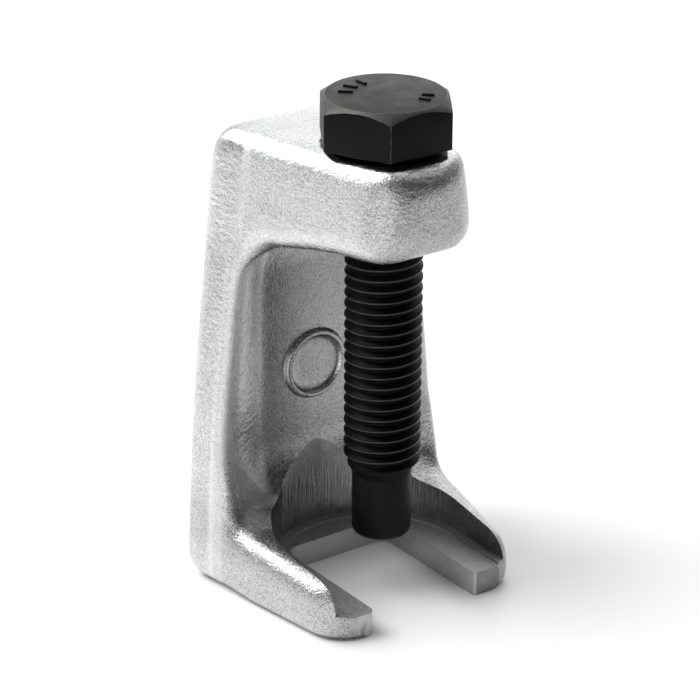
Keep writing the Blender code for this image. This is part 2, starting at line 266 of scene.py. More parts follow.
def boolean(target, tool, operation):
    """Cuts or joins target with tool, which is used up. Cut faces keep the tool's material."""
    step = target.modifiers.new("boolean", "BOOLEAN")
    step.operation = operation
    step.object = tool
    step.solver = "EXACT"
    step.material_mode = "TRANSFER"
    apply_modifiers(target)
    bpy.data.objects.remove(tool)


def lathe(name, profile, segments):
    """A closed turned solid from (radius, z) points, from its foot up the outside; both ends on the axis."""
    angles = [2 * math.pi * i / segments for i in range(segments)]

    def build(shape):
        rings = []
        for radius, z in profile:
            ring_angles = angles if radius else angles[:1]
            rings.append([shape.verts.new((*polar(radius, a), z)) for a in ring_angles])
        for near, far in zip(rings, rings[1:]):
            for i in range(segments):
                corners = [near[i % len(near)], near[(i + 1) % len(near)]]
                corners += [far[(i + 1) % len(far)], far[i % len(far)]]
                shape.faces.new(list(dict.fromkeys(corners)))
    return mesh_object(name, build)


def extrude_outline(name, outline, low, high):
    def build(shape):
        face = shape.faces.new([shape.verts.new((x, y, low)) for x, y in outline])
        raised = bmesh.ops.extrude_face_region(shape, geom=[face])
        verts = [item for item in raised["geom"] if isinstance(item, bmesh.types.BMVert)]
        bmesh.ops.translate(shape, verts=verts, vec=(0, 0, high - low))
    return mesh_object(name, build)


def bevel(made, width, segments):
    edges = made.modifiers.new("edges", "BEVEL")
    edges.width = width
    edges.segments = segments
    return edges


def shade(made, angle):
    made.data.shade_smooth()
    made.data.set_sharp_from_angle(angle=math.radians(angle))


# ---------------------------------------------------------------- the forging's loft
def half_width(y, z):
    """Half width of the forging at a point of its side view, before its ends round off in plan."""
    column = mix(FOOT_HALF_WIDTH, ARM_HALF_WIDTH, (max(z, 0) / ARM_TOP) ** SIDE_CURVE)
    taper = mix(FOOT_TAPER, ARM_TAPER, ease((z - TAPER_CHANGE) / TAPER_RISE))
    return column - taper * max(TAPER_START - y, 0)


def rounding(y, front, radius):
    """What a round of this radius takes off the width or the height at y, near a front end."""
    depth = min(radius - (y - front), radius)
    if depth <= 0:
        return 0
    return radius - math.sqrt(radius * radius - depth * depth)


def end_stations(front, radius, steps):
    """Places along Y from a front end to where its rounding stops, closer together near the end."""
    return [front + radius * (1 - math.cos(math.pi / 2 * i / steps)) for i in range(steps + 1)]


def tine_top(side, y):
    """Height of a tine's rim: it falls towards the tip."""
    tine = TINES[side]
    if y >= TINE_ROUND_START:
        share = (y - TINE_ROUND_START) / (FOOT_FILLET_CENTRE[0] - TINE_ROUND_START)
        return mix(tine["height"], TINE_ROOT_HEIGHT, share)
    fall = (TINE_ROUND_START - y) / (TINE_ROUND_START - tine["cut"])
    return mix(tine["height"], tine["tip"], min(fall, 1.15) ** TINE_FALL_POWER)


# A station is a pair of side-view points, (y, z) on the outer side and on the inner side, with what a plan
# round takes off the half width there, and the depth of the dish in the inner side.
def tine_stations(side):
    """Upright stations from a tine's tip to the fillet."""
    tine = TINES[side]
    made = []
    for y in end_stations(TINE_FRONT, TINE_ROUND_START - TINE_FRONT, 8):
        made.append(((y, 0), (y, tine_top(side, y)), rounding(y, tine["cut"], tine["radius"]), 0))
    for i in range(1, 6):
        y = mix(TINE_ROUND_START, FOOT_FILLET_CENTRE[0], i / 5)
        made.append(((y, 0), (y, tine_top(side, y)), 0, 0))
    return made


def foot_stations():
    """Stations that fan round the fillet, from the underside to the back, where the dish begins."""
    inner = arc(FOOT_FILLET_CENTRE, FOOT_FILLET, -90, 0, 8)[1:]
    outer = [(mix(FOOT_FILLET_CENTRE[0], BACK - BACK_CORNER, share), 0) for share in (0.4, 0.8)]
    outer += arc((BACK - BACK_CORNER, BACK_CORNER), BACK_CORNER, -90, 0, 4)
    outer.append((BACK, FOOT_FILLET_CENTRE[1]))
    dishes = [DISH_FOOT_DEPTH * ease((i - 2) / 5) for i in range(len(outer))]
    return [(out, into, 0, dish) for out, into, dish in zip(outer, inner, dishes)]


def column_stations():
    """Level stations up the column, with the dish at its full depth."""
    made = []
    foot_z = FOOT_FILLET_CENTRE[1]
    for share in (0.09, *[i / 10 for i in range(2, 11)]):
        z = mix(foot_z, ARCH_CENTRE[1], share)
        front = mix(COLUMN_FOOT_FRONT, COLUMN_FRONT, ease((z - foot_z) / COLUMN_FOOT_HEIGHT))
        floor = mix(COLUMN_FOOT_FRONT + DISH_FOOT_DEPTH, COLUMN_FRONT + DISH_DEPTH, ease(share / 0.1))
        made.append(((BACK, z), (front, z), 0, floor - front))
    return made


def arch_stations():
    """Stations that fan round the arch, from the back to the arm's top, where the dish runs out."""
    inner = arc(ARCH_CENTRE, ARCH_RADIUS, 0, 90, 10)[1:]
    outer = [(BACK, mix(ARCH_CENTRE[1], ARM_TOP - BACK_CORNER, share)) for share in (0.4, 0.7, 0.9)]
    outer += arc((BACK - BACK_CORNER, ARM_TOP - BACK_CORNER), BACK_CORNER, 0, 90, 4)
    outer += [(mix(BACK - BACK_CORNER, ARCH_CENTRE[0], share), ARM_TOP) for share in (0.33, 0.66)]
    dishes = [DISH_DEPTH * (1 - ease(i / 7)) for i in range(len(outer))]
    return [(out, into, 0, dish) for out, into, dish in zip(outer, inner, dishes)]


def nose_stations(side):
    """Upright stations along the arm and round its nose."""
    widest = max(NOSE_PLAN_RADII.values())
    made = []
    for i in range(1, 5):
        y = mix(ARCH_CENTRE[0], NOSE_FRONT + widest, i / 4)
        made.append(((y, ARM_TOP), (y, mix(ARCH_TOP, ARM_UNDERSIDE, math.sin(math.pi / 2 * i / 4))), 0, 0))
    for y in reversed(end_stations(NOSE_FRONT, widest, 9)[:-1]):
        top = ARM_TOP - rounding(y, NOSE_FRONT, NOSE_TOP_RADIUS)
        low = ARM_UNDERSIDE + rounding(y, NOSE_FRONT, NOSE_LOWER_RADIUS)
        made.append(((y, top), (y, low), rounding(y, NOSE_FRONT, NOSE_PLAN_RADII[side]), 0))
    return made


def stations(side):
    """All the stations of one side, from the tine's tip to the nose."""
    return tine_stations(side) + foot_stations() + column_stations() + arch_stations() + nose_stations(side)


def edge_radii(outer, inner, dish):
    """Radii of the edges along the outer and the inner side at one station."""
    on_ground = outer[1] == 0 and inner[0] == outer[0]
    risen = ease((inner[1] - ARM_EDGE_START) / ARM_EDGE_RISE)
    outer_radius = FOOT_EDGE_RADIUS if on_ground else mix(EDGE_RADIUS, ARM_EDGE_RADIUS, risen)
    inner_radius = mix(EDGE_RADIUS, ARM_LOWER_EDGE_RADIUS, risen)
    return outer_radius, mix(inner_radius, COLUMN_EDGE_RADIUS, min(dish / DISH_DEPTH, 1))


def section(outer, inner, narrowed, dish):
    """Half a cross section, from the middle of the forging's outer side to the middle of its inner side."""
    span = math.dist(outer, inner)
    half = min(half_width(*outer), half_width(*inner)) - narrowed
    most = (EDGE_SHARE_OF_SPAN * span, EDGE_SHARE_OF_WIDTH * half)
    outer_radius, inner_radius = (min(radius, *most) for radius in edge_radii(outer, inner, dish))

    def place(inset, depth):
        """A point inset from the side face, at a depth from the outer side towards the inner one."""
        share = depth / span
        y = mix(outer[0], inner[0], share)
        z = mix(outer[1], inner[1], share)
        return (half_width(y, z) - narrowed - inset, y, z)

    reach = place(outer_radius, 0)[0]
    points = [(share * reach, *outer) for share in (0, 0.25, 0.5, 0.75)]
    around = arc((outer_radius, outer_radius), outer_radius, 270, 180, 4)
    around += [(0, mix(outer_radius, span - inner_radius, share)) for share in (0.25, 0.5, 0.75)]
    around += arc((inner_radius, span - inner_radius), inner_radius, 180, 90, 4)
    points += [place(inset, depth) for inset, depth in around]
    reach = points[-1][0]
    floor = min(DISH_HALF_FLOOR, DISH_FLOOR_SHARE * reach)
    slope = [(mix(reach, floor, share), share) for share in (0.3, 0.65, 0.96)]
    flat = [(share * floor, 1) for share in (0.92, 0.62, 0.31, 0)]
    for x, share in slope + flat:
        points.append((x, *place(0, span - dish * share)[1:]))
    return points


def loft(shape):
    """The forging as closed rings round both sides, with a face over each end."""
    rings = []
    for left, right in zip(stations(-1), stations(1)):
        ring = section(*right)
        other = [(-x, y, z) for x, y, z in section(*left)]
        middle = (Vector(ring[-1]) + Vector(other[-1])) / 2
        points = ring[:-1] + [middle] + other[-2:0:-1]
        rings.append([shape.verts.new(point) for point in points])
    count = len(rings[0])
    for near, far in zip(rings, rings[1:]):
        for i in range(count):
            shape.faces.new((near[i], near[(i + 1) % count], far[(i + 1) % count], far[i]))
    shape.faces.new(rings[0])
    shape.faces.new(rings[-1])


# ---------------------------------------------------------------- the forging's skin
def vertex_values(mesh, name):
    values = np.empty(len(mesh.vertices) * 3, np.float32)
    mesh.vertices.foreach_get(name, values)
    return values.reshape(-1, 3)


def calm_waves(lift, place, normal):
    """Lowers the waves along the back of the sides, in the dish, on the ground and under the screw's head."""
    back_band = (place[:, 1] > COLUMN_FRONT) & (np.abs(normal[:, 0]) > 0.7)
    lift[back_band] *= BACK_BAND_WAVES
    dished = (np.abs(place[:, 0]) < 0.8 * ARM_HALF_WIDTH) & (place[:, 1] > FOOT_FILLET_CENTRE[0])
    dished &= (normal[:, 1] < -0.3) | (place[:, 2] < ARCH_TOP)
    lift[dished & (place[:, 1] < BACK - BACK_CORNER)] *= DISH_WAVES
    ground = np.clip(place[:, 2] / GROUND_FADE, 0, 1)
    seat = np.clip((np.hypot(place[:, 0], place[:, 1]) - SEAT_RADIUS) / SEAT_FADE, 0, 1)
    seat[place[:, 2] < ARM_UNDERSIDE + 6 * MM] = 1
    lift *= ground * seat


def roughen(made):
    """Gives the forged skin its hammered waviness, in the mesh."""
    mesh = made.data
    place = vertex_values(mesh, "co")
    normal = vertex_values(mesh, "normal")
    lift = np.zeros(len(place))
    for k, (length, height) in enumerate(SKIN_WAVES):
        shift = Vector((17 * k, 5, 3))
        lift += [height * noise.noise(Vector(p) / length + shift) for p in place]
    calm_waves(lift, place, normal)
    place += normal * lift[:, None].astype(np.float32)
    mesh.vertices.foreach_set("co", place.ravel())
    mesh.update()


def forged_blank():
    """The forging as it leaves the die: the loft, rounded, on an even grid of points, with its rough skin."""
    blank = mesh_object("forged_frame", loft)
    rounder = blank.modifiers.new("rounder", "SUBSURF")
    rounder.levels = rounder.render_levels = 3
    grid = blank.modifiers.new("grid", "REMESH")
    grid.mode = "VOXEL"
    grid.voxel_size = SKIN_GRID
    apply_modifiers(blank)
    roughen(blank)
    return blank


# ---------------------------------------------------------------- what is added to the blank and cut from it
def make_roundel():
    """A blank disc with a raised rim, standing on the floor of the dish."""
    rim = ROUNDEL_RADIUS - ROUNDEL_RIM
    outer = ROUNDEL_OUTER_ROUND
    inner = ROUNDEL_INNER_ROUND
    profile = [
        (0, -ROUNDEL_ROOT),
        (ROUNDEL_RADIUS + 0.5 * MM, -ROUNDEL_ROOT),
        (ROUNDEL_RADIUS + 0.25 * MM, 0),
        *arc((ROUNDEL_RADIUS - outer, ROUNDEL_HEIGHT - outer), outer, 10, 90, 4),
        *arc((rim + inner, ROUNDEL_HEIGHT - inner), inner, 90, 160, 4),
        (rim - 0.3 * MM, 0.2 * MM),
        (rim - 0.8 * MM, 0.05 * MM),
        (rim - 2 * MM, 0),
        (0, -0.02 * MM),
    ]
    roundel = lathe("roundel", profile, 96)
    facing_front = Matrix.Rotation(math.radians(90), 4, "X")
    roundel.data.transform(Matrix.Translation((0, COLUMN_FRONT + DISH_DEPTH, ROUNDEL_Z)) @ facing_front)
    return roundel


def pocket_cut(radius, floor):
    """A pocket with a round back, open at the front."""
    outline = [(radius, CUT_FRONT), *arc((0, POCKET_CENTRE_Y), radius, 0, 180, 96), (-radius, CUT_FRONT)]
    return extrude_outline("pocket", outline, floor, POCKET_TOP)


def slot_side(tine):
    """One side of the fork slot's outline: the mouth's rounded corner, the wall and the inner corner."""
    radius = tine["mouth"]
    side = [(SLOT_HALF_WIDTH + radius, CUT_FRONT)]
    side += arc((SLOT_HALF_WIDTH + radius, tine["cut"] + radius), radius, 270, 180, 6)
    side += arc((SLOT_HALF_WIDTH - SLOT_CORNER, SLOT_BACK - SLOT_CORNER), SLOT_CORNER, 0, 90, 12)
    return side


def slot_cut():
    outline = slot_side(TINES[1]) + [(-x, y) for x, y in reversed(slot_side(TINES[-1]))]
    return extrude_outline("slot", outline, CUT_BOTTOM, SLOT_CUT_TOP)


def saw_cut(side):
    """What the saw takes off the front of one tine."""
    far = side * SAW_CUT_SIDE
    cut = TINES[side]["cut"]
    outline = [(0, CUT_FRONT), (far, CUT_FRONT), (far, cut), (0, cut)]
    return extrude_outline("saw cut", outline, CUT_BOTTOM, SAW_CUT_TOP)


def tapped_hole():
    def build(shape):
        crest = THREAD_RADIUS + THREAD_CLEARANCE
        root = CORE_RADIUS + THREAD_CLEARANCE
        thread(shape, ARM_UNDERSIDE - HOLE_CUT_SPARE, ARM_TOP + HOLE_CUT_SPARE, crest, root, 36)
    return mesh_object("tapped hole", build)


def finish_floor(forging, zinc, milled_floor):
    """Gives the milled finish to the faces that the cutter left level at the bottom of the pocket."""
    materials = forging.data.materials
    materials.append(milled_floor)
    for face in forging.data.polygons:
        level = abs(face.center.z - POCKET_FLOOR) < 2 * POCKET_LEDGE_HEIGHT and face.normal.z > 0.9
        if level and materials[face.material_index] != zinc:
            face.material_index = len(materials) - 1


def make_forging(zinc, machined, milled_floor, sawn):
    """The whole frame: the blank with its roundel, and the cuts, each with its own finish."""
    forging = forged_blank()
    set_materials(forging, zinc)
    roundel = make_roundel()
    set_materials(roundel, zinc)
    boolean(forging, roundel, "UNION")
    cuts = (
        (pocket_cut(POCKET_RADIUS, POCKET_FLOOR), machined),
        (pocket_cut(POCKET_RADIUS - POCKET_LEDGE, POCKET_FLOOR - POCKET_LEDGE_HEIGHT), sawn),
        (slot_cut(), sawn),
        (saw_cut(-1), sawn),
        (saw_cut(1), machined),
        (tapped_hole(), machined),
    )
    for cut, finish in cuts:
        set_materials(cut, finish)
        boolean(forging, cut, "DIFFERENCE")
    finish_floor(forging, zinc, milled_floor)
    shade(forging, 38)
    return forging


# ---------------------------------------------------------------- the screw
def helix_faces(shape, rows, starts, steps):
    """The thread's crest and flanks, and the strip of root from each turn to the next."""
    for i, (here, there) in enumerate(zip(rows, rows[1:])):
        for j in range(len(here) - 1):
            shape.faces.new((here[j], there[j], there[j + 1], here[j + 1]))
        shape.faces.new((here[-1], there[-1], starts[i + 1 + steps], starts[i + steps]))


def thread_end_faces(shape, rows, starts, steps, bottom, top):
    """The plain rod under the first turn and over the last one, with the two flat ends."""
    total = len(rows) - 1
    for i in range(steps - 1):
        shape.faces.new((bottom[i], bottom[i + 1], starts[i + 1], starts[i]))
        shape.faces.new((starts[total + i], starts[total + i + 1], top[i + 1], top[i]))
    shape.faces.new([bottom[-1], bottom[0], *rows[0], starts[steps], starts[steps - 1]])
    shape.faces.new([starts[-2], starts[-1], *reversed(rows[-1]), top[0], top[-1]])
    shape.faces.new(bottom)
    shape.faces.new(top)


def thread(shape, low, high, crest, root, steps, limit=None):
    """A right-hand threaded rod between two heights, with flat ends and a thread that fades in and out.

    limit(z), if given, is a radius that nothing at that height exceeds, such as a chamfer's.
    """
    first = THREAD_PHASE + PITCH * math.ceil((low - THREAD_PHASE) / PITCH)
    total = steps * (int((high - first) / PITCH) - 1)

    def point(radius, index, z):
        radius = min(radius, limit(z)) if limit else radius
        return shape.verts.new((*polar(radius, 2 * math.pi * index / steps), z))

    def helix_row(index):
        fade = ease(index / steps) * ease((total - index) / steps)
        climb = first + PITCH * index / steps
        row = []
        for along, share in THREAD_OUTLINE:
            row.append(point(mix(root, crest, share * fade), index, climb + PITCH * along))
        return row

    rows = [helix_row(i) for i in range(total + 1)]
    last_turn = [point(root, total + i, first + PITCH * (total + i) / steps) for i in range(1, steps + 1)]
    starts = [row[0] for row in rows] + last_turn
    helix_faces(shape, rows, starts, steps)
    bottom = [point(root, i, low) for i in range(steps)]
    top = [point(root, total + i, high) for i in range(steps)]
    thread_end_faces(shape, rows, starts, steps, bottom, top)


def head_blank():
    """The hexagon, turned down at its top and bottom corners."""
    outline = [polar(HEAD_CORNER, HEAD_CORNER_ANGLE + math.radians(60 * i)) for i in range(6)]
    head = extrude_outline("screw_head", outline, HEAD_BEARING, HEAD_TOP)
    turned = lathe("turned", [
        (0, HEAD_BEARING - 1 * MM),
        (HEAD_CORNER - 2.2 * MM, HEAD_BEARING - 1 * MM),
        (HEAD_CORNER + 2 * MM, HEAD_BEARING + 0.95 * MM),
        (HEAD_CHAMFER_RADIUS + HEAD_CHAMFER_DROP / math.tan(HEAD_CHAMFER), HEAD_TOP - HEAD_CHAMFER_DROP),
        (HEAD_CHAMFER_RADIUS, HEAD_TOP),
        (0, HEAD_TOP),
    ], 144)
    boolean(head, turned, "INTERSECT")
    return head


def make_head(oxide, worn, top, chamfered):
    """The hexagon head, with its worn edges and its own finish on the top face and on the chamfer."""
    head = head_blank()
    set_materials(head, oxide, worn, top, chamfered)
    edges = bevel(head, HEAD_EDGE, 2)
    edges.limit_method = "ANGLE"
    edges.angle_limit = math.radians(18)
    edges.material = 1
    apply_modifiers(head)
    for face in head.data.polygons:
        if face.material_index == 0 and face.normal.z > 0.5:
            face.material_index = 2 if face.normal.z > 0.95 else 3
    shade(head, 30)
    return head


def make_washer_face(oxide):
    bearing = HEAD_BEARING - WASHER_FACE
    washer = lathe("screw_washer_face", [
        (0, bearing),
        (HEAD_CHAMFER_RADIUS - 0.3 * MM, bearing),
        (HEAD_CHAMFER_RADIUS - 0.1 * MM, bearing + 0.15 * MM),
        (HEAD_CHAMFER_RADIUS, HEAD_BEARING - 0.02 * MM),
        (0, HEAD_BEARING - 0.02 * MM),
    ], 96)
    set_materials(washer, oxide)
    shade(washer, 30)
    return washer


def make_marks(oxide):
    """Plain raised bars on the head, three on one side and two on the other, each pointing outwards."""
    def bar(shape, angle, radius, length, width):
        made = bmesh.ops.create_cube(shape, size=1)
        place = Matrix.Translation((*polar(radius, angle), HEAD_TOP + MARK_LIFT * MARK_HEIGHT))
        place = place @ Matrix.Rotation(angle, 4, "Z") @ Matrix.Diagonal((length, width, MARK_HEIGHT, 1))
        bmesh.ops.transform(shape, matrix=place, verts=made["verts"])

    def build(shape):
        for angles, radius, length, width in MARKS:
            for angle in angles:
                bar(shape, math.radians(angle), radius, length, width)

    marks = mesh_object("screw_head_marks", build)
    set_materials(marks, oxide)
    bevel(marks, MARK_EDGE, 3)
    apply_modifiers(marks)
    shade(marks, 40)
    return marks


def make_shank(oxide, crest):
    """The threaded shank, chamfered at its foot, with a lighter band on the thread's crest, partly rubbed and
    partly painted highlight.
    """
    def chamfer(z):
        return TIP_RADIUS + max(z - SCREW_BOTTOM, 0) * SHANK_CHAMFER_SLOPE

    def build(shape):
        thread(shape, SCREW_BOTTOM, HEAD_TOP - 3 * MM, THREAD_RADIUS, CORE_RADIUS, 72, chamfer)

    shank = mesh_object("screw_thread", build)
    set_materials(shank, oxide, crest)
    radii = [math.hypot(vertex.co.x, vertex.co.y) for vertex in shank.data.vertices]
    for face in shank.data.polygons:
        if min(radii[i] for i in face.vertices) > THREAD_RADIUS - CREST_BAND:
            face.material_index = 1
    shade(shank, 60)
    return shank


def make_dog_point(oxide):
    """The plain cylinder under the thread, with a rounded end."""
    foot = (TIP_RADIUS - DOG_POINT_ROUND, TIP_BOTTOM + DOG_POINT_ROUND)
    top = SCREW_BOTTOM - DOG_POINT_GAP
    profile = [
        (0, TIP_BOTTOM),
        (0.6 * TIP_RADIUS, TIP_BOTTOM),
        *arc(foot, DOG_POINT_ROUND, -90, 0, 10),
        *[(TIP_RADIUS, mix(TIP_BOTTOM, SCREW_BOTTOM, share)) for share in (0.4, 0.6, 0.8, 0.97)],
        (TIP_RADIUS - DOG_POINT_INSET, top),
        (0, top),
    ]
    point = lathe("dog_point", profile, 96)
    set_materials(point, oxide)
    shade(point, 40)
    return point


# ---------------------------------------------------------------- materials
class Nodes:
    """Short names for building one material's node tree. Masks and shares run from 0 to 1."""

    def __init__(self, name):
        self.material = bpy.data.materials.new(name)
        self.material.use_nodes = True
        self.tree = self.material.node_tree
        self.shader = self.tree.nodes["Principled BSDF"]
        self.place = self.tree.nodes.new("ShaderNodeTexCoord").outputs["Object"]

    def set(self, **values):
        for key, value in values.items():
            self.shader.inputs[key.replace("_", " ")].default_value = value

    def wire(self, source, target):
        self.tree.links.new(source, target)

    def feed(self, socket, value):
        if isinstance(value, bpy.types.NodeSocket):
            self.wire(value, socket)
        else:
            socket.default_value = value

    def noise(self, size, detail=2.0, rough=0.5, place=None):
        """Noise whose lumps are about this size in metres."""
        node = self.tree.nodes.new("ShaderNodeTexNoise")
        node.inputs["Scale"].default_value = 1 / size
        node.inputs["Detail"].default_value = detail
        node.inputs["Roughness"].default_value = rough
        self.wire(place or self.place, node.inputs["Vector"])
        return node.outputs["Fac"]

    def cells(self, size):
        """Distance to the nearest of points that lie about this far apart, in shares of that."""
        node = self.tree.nodes.new("ShaderNodeTexVoronoi")
        node.inputs["Scale"].default_value = 1 / size
        self.wire(self.place, node.inputs["Vector"])
        return node.outputs["Distance"]

    def math(self, operation, a, b=0.0):
        node = self.tree.nodes.new("ShaderNodeMath")
        node.operation = operation
        self.feed(node.inputs[0], a)
        self.feed(node.inputs[1], b)
        return node.outputs[0]

    def both(self, *masks):
        product = masks[0]
        for mask in masks[1:]:
            product = self.math("MULTIPLY", product, mask)
        return product

    def axes(self):
        """The place's three coordinates."""
        node = self.tree.nodes.new("ShaderNodeSeparateXYZ")
        self.wire(self.place, node.inputs[0])
        return node.outputs

    def spread(self, value, low, high, to_low=0.0, to_high=1.0):
        """The value taken from the range low to high into another range, and held at its ends."""
        node = self.tree.nodes.new("ShaderNodeMapRange")
        for key, number in zip(("From Min", "From Max", "To Min", "To Max"), (low, high, to_low, to_high)):
            node.inputs[key].default_value = number
        self.wire(value, node.inputs["Value"])
        return node.outputs["Result"]

    def tint(self, share, low, high):
        node = self.tree.nodes.new("ShaderNodeMix")
        node.data_type = "RGBA"
        self.feed(node.inputs["Factor"], share)
        for socket, colour in ((node.inputs["A"], low), (node.inputs["B"], high)):
            self.feed(socket, (*colour, 1) if isinstance(colour, tuple) else colour)
        return node.outputs["Result"]

    def scaled(self, factors, offset=(0, 0, 0)):
        node = self.tree.nodes.new("ShaderNodeMapping")
        node.inputs["Location"].default_value = offset
        node.inputs["Scale"].default_value = factors
        self.wire(self.place, node.inputs["Vector"])
        return node.outputs["Vector"]

    def bump(self, height, depth, strength=1.0, under=None):
        node = self.tree.nodes.new("ShaderNodeBump")
        node.inputs["Distance"].default_value = depth
        self.feed(node.inputs["Strength"], strength)
        self.wire(height, node.inputs["Height"])
        if under:
            self.wire(under, node.inputs["Normal"])
        return node.outputs["Normal"]

    def soft_edges(self, radius):
        node = self.tree.nodes.new("ShaderNodeBevel")
        node.samples = 4
        node.inputs["Radius"].default_value = radius
        return node.outputs["Normal"]

    def from_centre(self, centre):
        """Distance in plan from a place."""
        node = self.tree.nodes.new("ShaderNodeVectorMath")
        node.operation = "LENGTH"
        self.wire(self.scaled((1, 1, 0), (-centre[0], -centre[1], 0)), node.inputs[0])
        return node.outputs["Value"]

    def combined(self, x, y):
        node = self.tree.nodes.new("ShaderNodeCombineXYZ")
        self.wire(x, node.inputs["X"])
        self.wire(y, node.inputs["Y"])
        return node.outputs["Vector"]

    def finish(self, normal):
        self.wire(normal, self.shader.inputs["Normal"])
        return self.material


# Colours of the plate: its dull and its bright crystals, each from the greyer to the whiter patches, and the
# tones that its layers bring in: painted highlight on the arm and along the column's edge, painted shade in
# the dish, on the nose, on the rims and at the back corner, and the dark of the pits
DULL_ZINC = ((0.28, 0.285, 0.29), (0.32, 0.325, 0.325))
BRIGHT_ZINC = ((0.60, 0.61, 0.615), (0.66, 0.67, 0.67))
# painted highlight: the whiter tone on the arm, away from its top
ARM_PAINTED_HIGHLIGHT = (0.85, 0.86, 0.86)
# painted highlight: the whiter tone along the column's front edge
COLUMN_EDGE_PAINTED_HIGHLIGHT = (0.78, 0.79, 0.79)
# painted shade: the dark tone laid over the dish, the nose, the rims and the back corner
SHADED_ZINC = (0.1, 0.1, 0.1)
PIT_ZINC = (0.12, 0.12, 0.12)

# Sizes of the plate's grain and crystals, the pits' spacing, the lumps' size and the relief's depth
ZINC_GRAIN = 0.28 * MM
ZINC_CRYSTAL = 0.4 * MM
PIT_SPACING = 2.4 * MM
LUMP = 1.3 * MM
RELIEF_DEPTH = 0.1 * MM

# Size of the cutters' marks, how far their rings wander, and the depths of cut and of blackened surfaces
CUTTER_MARK = 0.3 * MM
CUTTER_WANDER = 0.6 * MM
CUT_DEPTH = 0.09 * MM
OXIDE_DEPTH = 0.012 * MM


def zinc_masks(n):
    """Where the forging's plate looks different, and where highlight and shade are painted on it, as
    soft-edged masks.
    """
    across, along, up = n.axes()
    sideways = n.math("ABSOLUTE", across)
    back = AXIS.y + BACK
    front = AXIS.y + COLUMN_FRONT
    nose = AXIS.y + NOSE_FRONT
    top = n.spread(up, ARM_TOP - 0.9 * MM, ARM_TOP - 0.3 * MM)
    back_band = n.spread(along, back - 8.2 * MM, back - 7 * MM)
    return {
        "top": top,
        "calm": n.math("MAXIMUM", top, n.math("MULTIPLY", back_band, 0.5)),
        "flange": n.both(
            n.spread(along, front - 1 * MM, front),
            n.spread(along, front + 1.4 * MM, front + 0.4 * MM)),
        # the dish's hollow: painted shade darkens its plate, and its lumps are flatter
        "dish": n.both(
            n.spread(up, ARCH_TOP - 3 * MM, ARCH_TOP - 8 * MM),
            n.spread(sideways, 14 * MM, 11.5 * MM),
            n.spread(along, back - 1.5 * MM, back - 3 * MM)),
        # how strongly painted shade darkens the dish, more higher up
        "dish_shade": n.spread(up, 22 * MM, 45 * MM, 0.22, 0.55),
        # painted highlight: the arm under its top, back from the nose, tinted whiter
        "arm": n.both(
            n.spread(up, ARCH_TOP - 4 * MM, ARCH_TOP + 2 * MM),
            n.spread(along, nose + 3 * MM, nose + 7 * MM)),
        # painted shade and a painted dark reflection of the head, darker towards the nose's front
        "nose": n.spread(along, nose + 5 * MM, nose + 1.5 * MM, 0, 0.25),
        # painted shade over the band of the tines' rims, from 5 to 16 mm up
        "rim_shade": n.both(
            n.spread(up, 5 * MM, 8 * MM),
            n.spread(up, 16 * MM, 12 * MM)),
        # painted shade at the back of the arm's top corner
        "back_corner_shade": n.both(
            n.spread(up, ARM_TOP - 5 * MM, ARM_TOP - 1 * MM),
            n.spread(along, back - 5.5 * MM, back - 2 * MM),
            n.spread(sideways, 7 * MM, 11 * MM)),
        # painted highlight along the column's front edge
        "column_edge_highlight": n.both(
            n.spread(along, front - 1.6 * MM, front - 0.6 * MM),
            n.spread(along, front + 2.4 * MM, front + 1.4 * MM),
            n.spread(up, ARCH_TOP - 1 * MM, ARCH_TOP - 5 * MM)),
    }


def zinc_colour(n, masks, grain, crystals, pits):
    """Crystals in two greys, under one layer of tone for each kind of place: painted shade in the dish, on
    the nose, on the rims and at the back corner, painted highlight on the arm and along the column's edge,
    and dark pits.
    """
    bloom = n.spread(n.noise(5 * MM, 3), 0.3, 0.7)
    bright = n.spread(n.math("SUBTRACT", grain, n.math("MULTIPLY", crystals, 0.14)), 0.27, 0.5)
    bright = n.math("MAXIMUM", bright, n.math("MULTIPLY", masks["calm"], 0.45))
    colour = n.tint(bright, n.tint(bloom, *DULL_ZINC), n.tint(bloom, *BRIGHT_ZINC))
    layers = (
        # painted shade in the dish's hollow
        (n.both(masks["dish"], masks["dish_shade"]), SHADED_ZINC),
        # painted highlight on the arm
        (n.both(masks["arm"], n.spread(masks["top"], 0, 1, 0.3, 0)), ARM_PAINTED_HIGHLIGHT),
        # painted shade and painted dark reflection towards the nose's front
        (masks["nose"], SHADED_ZINC),
        # painted shade on the tines' rims
        (n.math("MULTIPLY", masks["rim_shade"], 0.22), SHADED_ZINC),
        # painted shade at the back top corner
        (n.math("MULTIPLY", masks["back_corner_shade"], 0.5), SHADED_ZINC),
        # painted highlight along the column's front edge
        (n.math("MULTIPLY", masks["column_edge_highlight"], 0.45), COLUMN_EDGE_PAINTED_HIGHLIGHT),
        (n.both(pits, n.spread(n.noise(2.2 * MM), 0.5, 0.62)), PIT_ZINC),
    )
    for share, tone in layers:
        colour = n.tint(share, colour, tone)
    return colour


def zinc_roughness(n, masks):
    roughness = n.spread(n.noise(0.8 * MM, 3), 0.3, 0.7, 0.18, 0.3)
    roughness = n.math("ADD", roughness, n.math("MULTIPLY", masks["flange"], 0.08))
    return n.math("SUBTRACT", roughness, n.math("MULTIPLY", masks["top"], 0.06))


